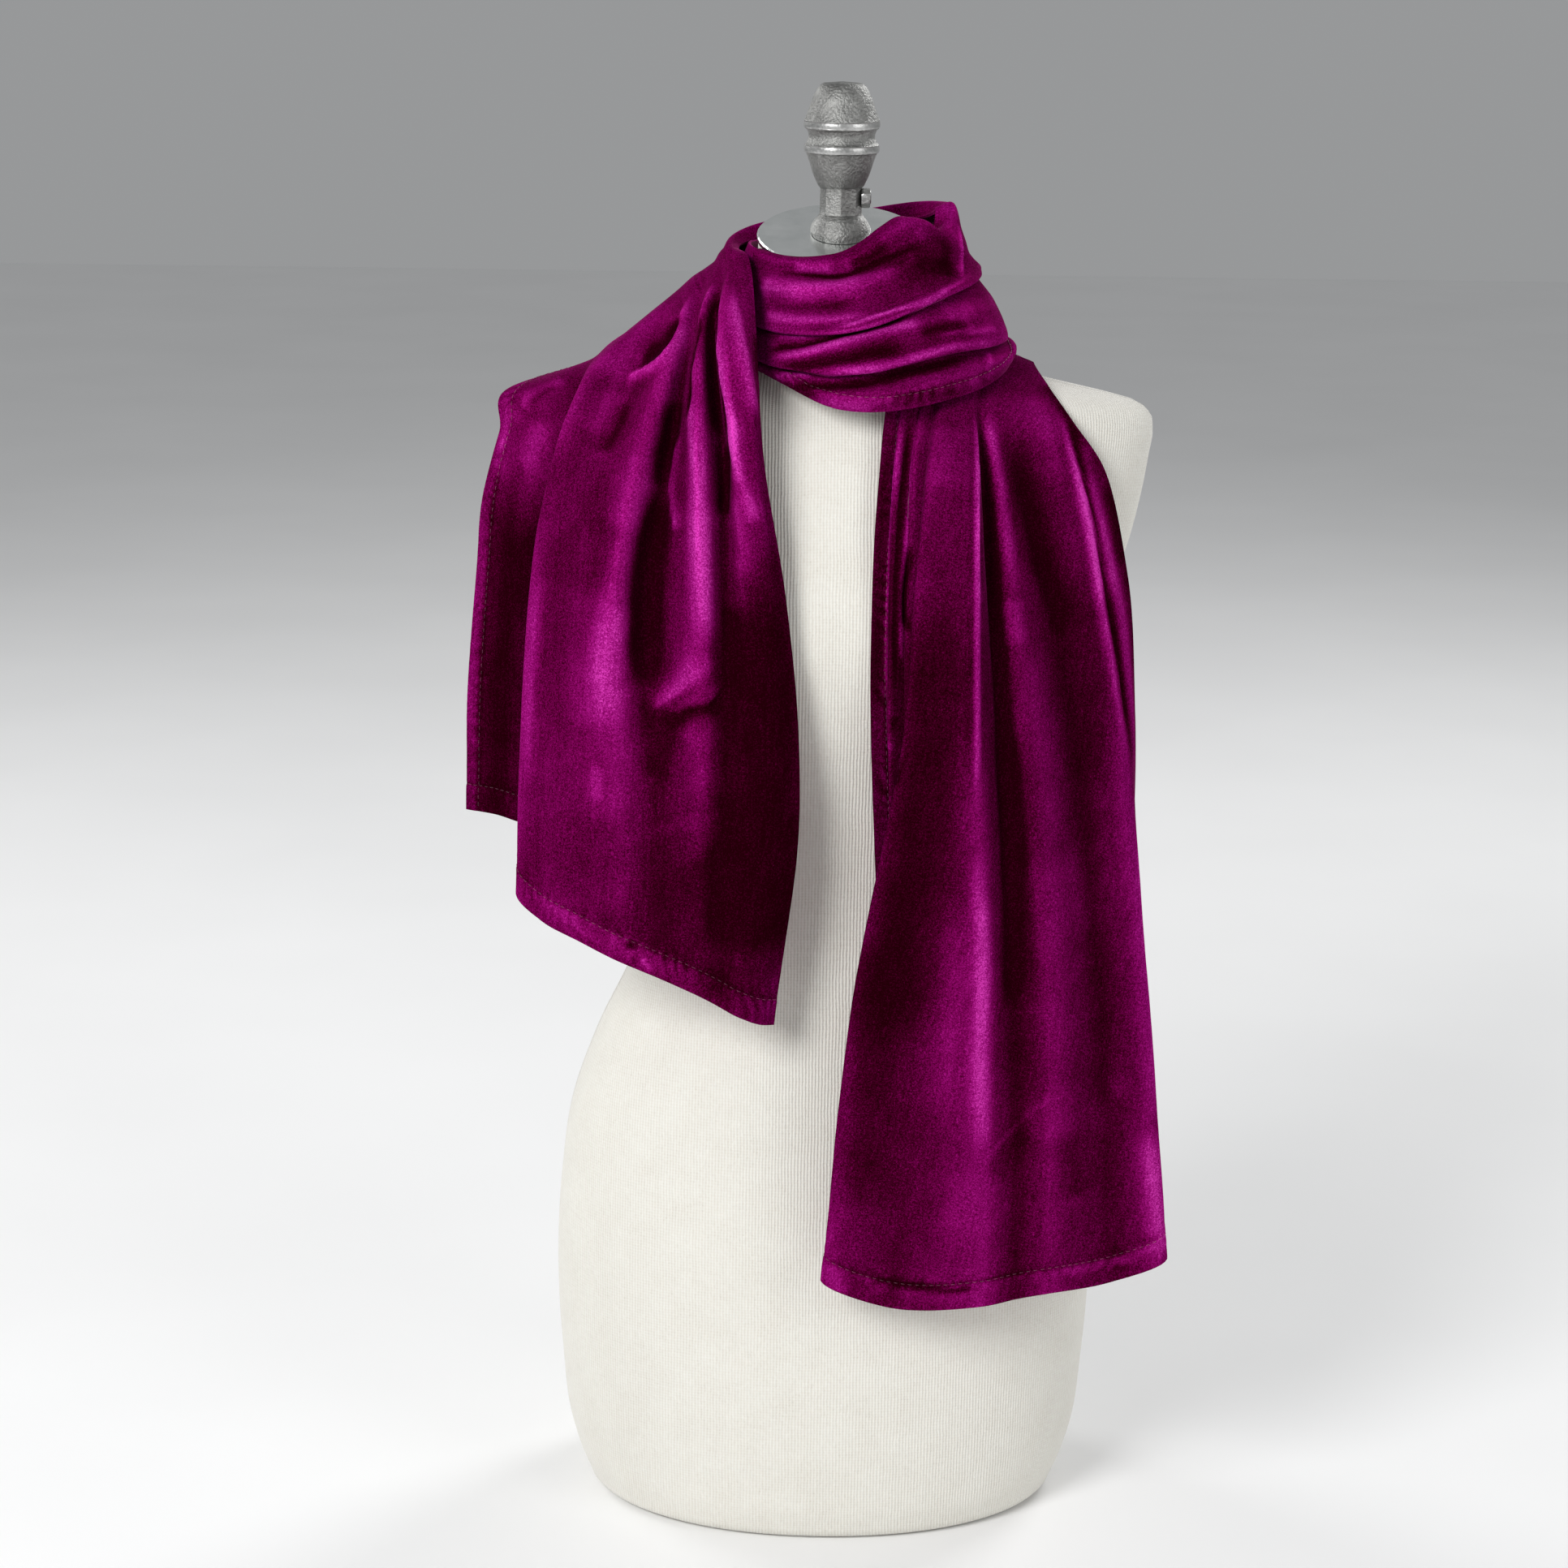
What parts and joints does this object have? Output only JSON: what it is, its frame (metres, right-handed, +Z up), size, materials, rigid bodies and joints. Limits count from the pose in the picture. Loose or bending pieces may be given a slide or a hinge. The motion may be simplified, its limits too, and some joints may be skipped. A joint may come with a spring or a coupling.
{
  "type": "velvet scarf on a limbless dress form",
  "caption": "Velvet scarf wound round the neck of a limbless dress form, with both ends hanging down its front.",
  "frame": {"origin": "middle of the flat underside that the dress form stands on", "axes": "+Z up along the form, -Y the way its front faces, +X towards the shoulder that the longer end of the scarf hangs from"},
  "size_m": [0.4564, 0.285, 0.9435],
  "materials": {
    "velvet": "magenta velvet pile, bright along the folds",
    "ribbed_jersey": "cream cotton jersey with fine upright ribs",
    "polished_plate": "polished metal",
    "cast_metal": "bare cast metal with polished rings"
  },
  "bodies": {
    "root": {"scarf_right_tail": "velvet", "scarf_inner_turn": "velvet", "scarf_front_turn": "velvet", "scarf_back_turn": "velvet", "scarf_left_tail": "velvet", "form_torso": "ribbed_jersey", "neck_plate": "polished_plate", "neck_knob": "cast_metal", "knob_bolt": "cast_metal"}
  },
  "joints": []
}
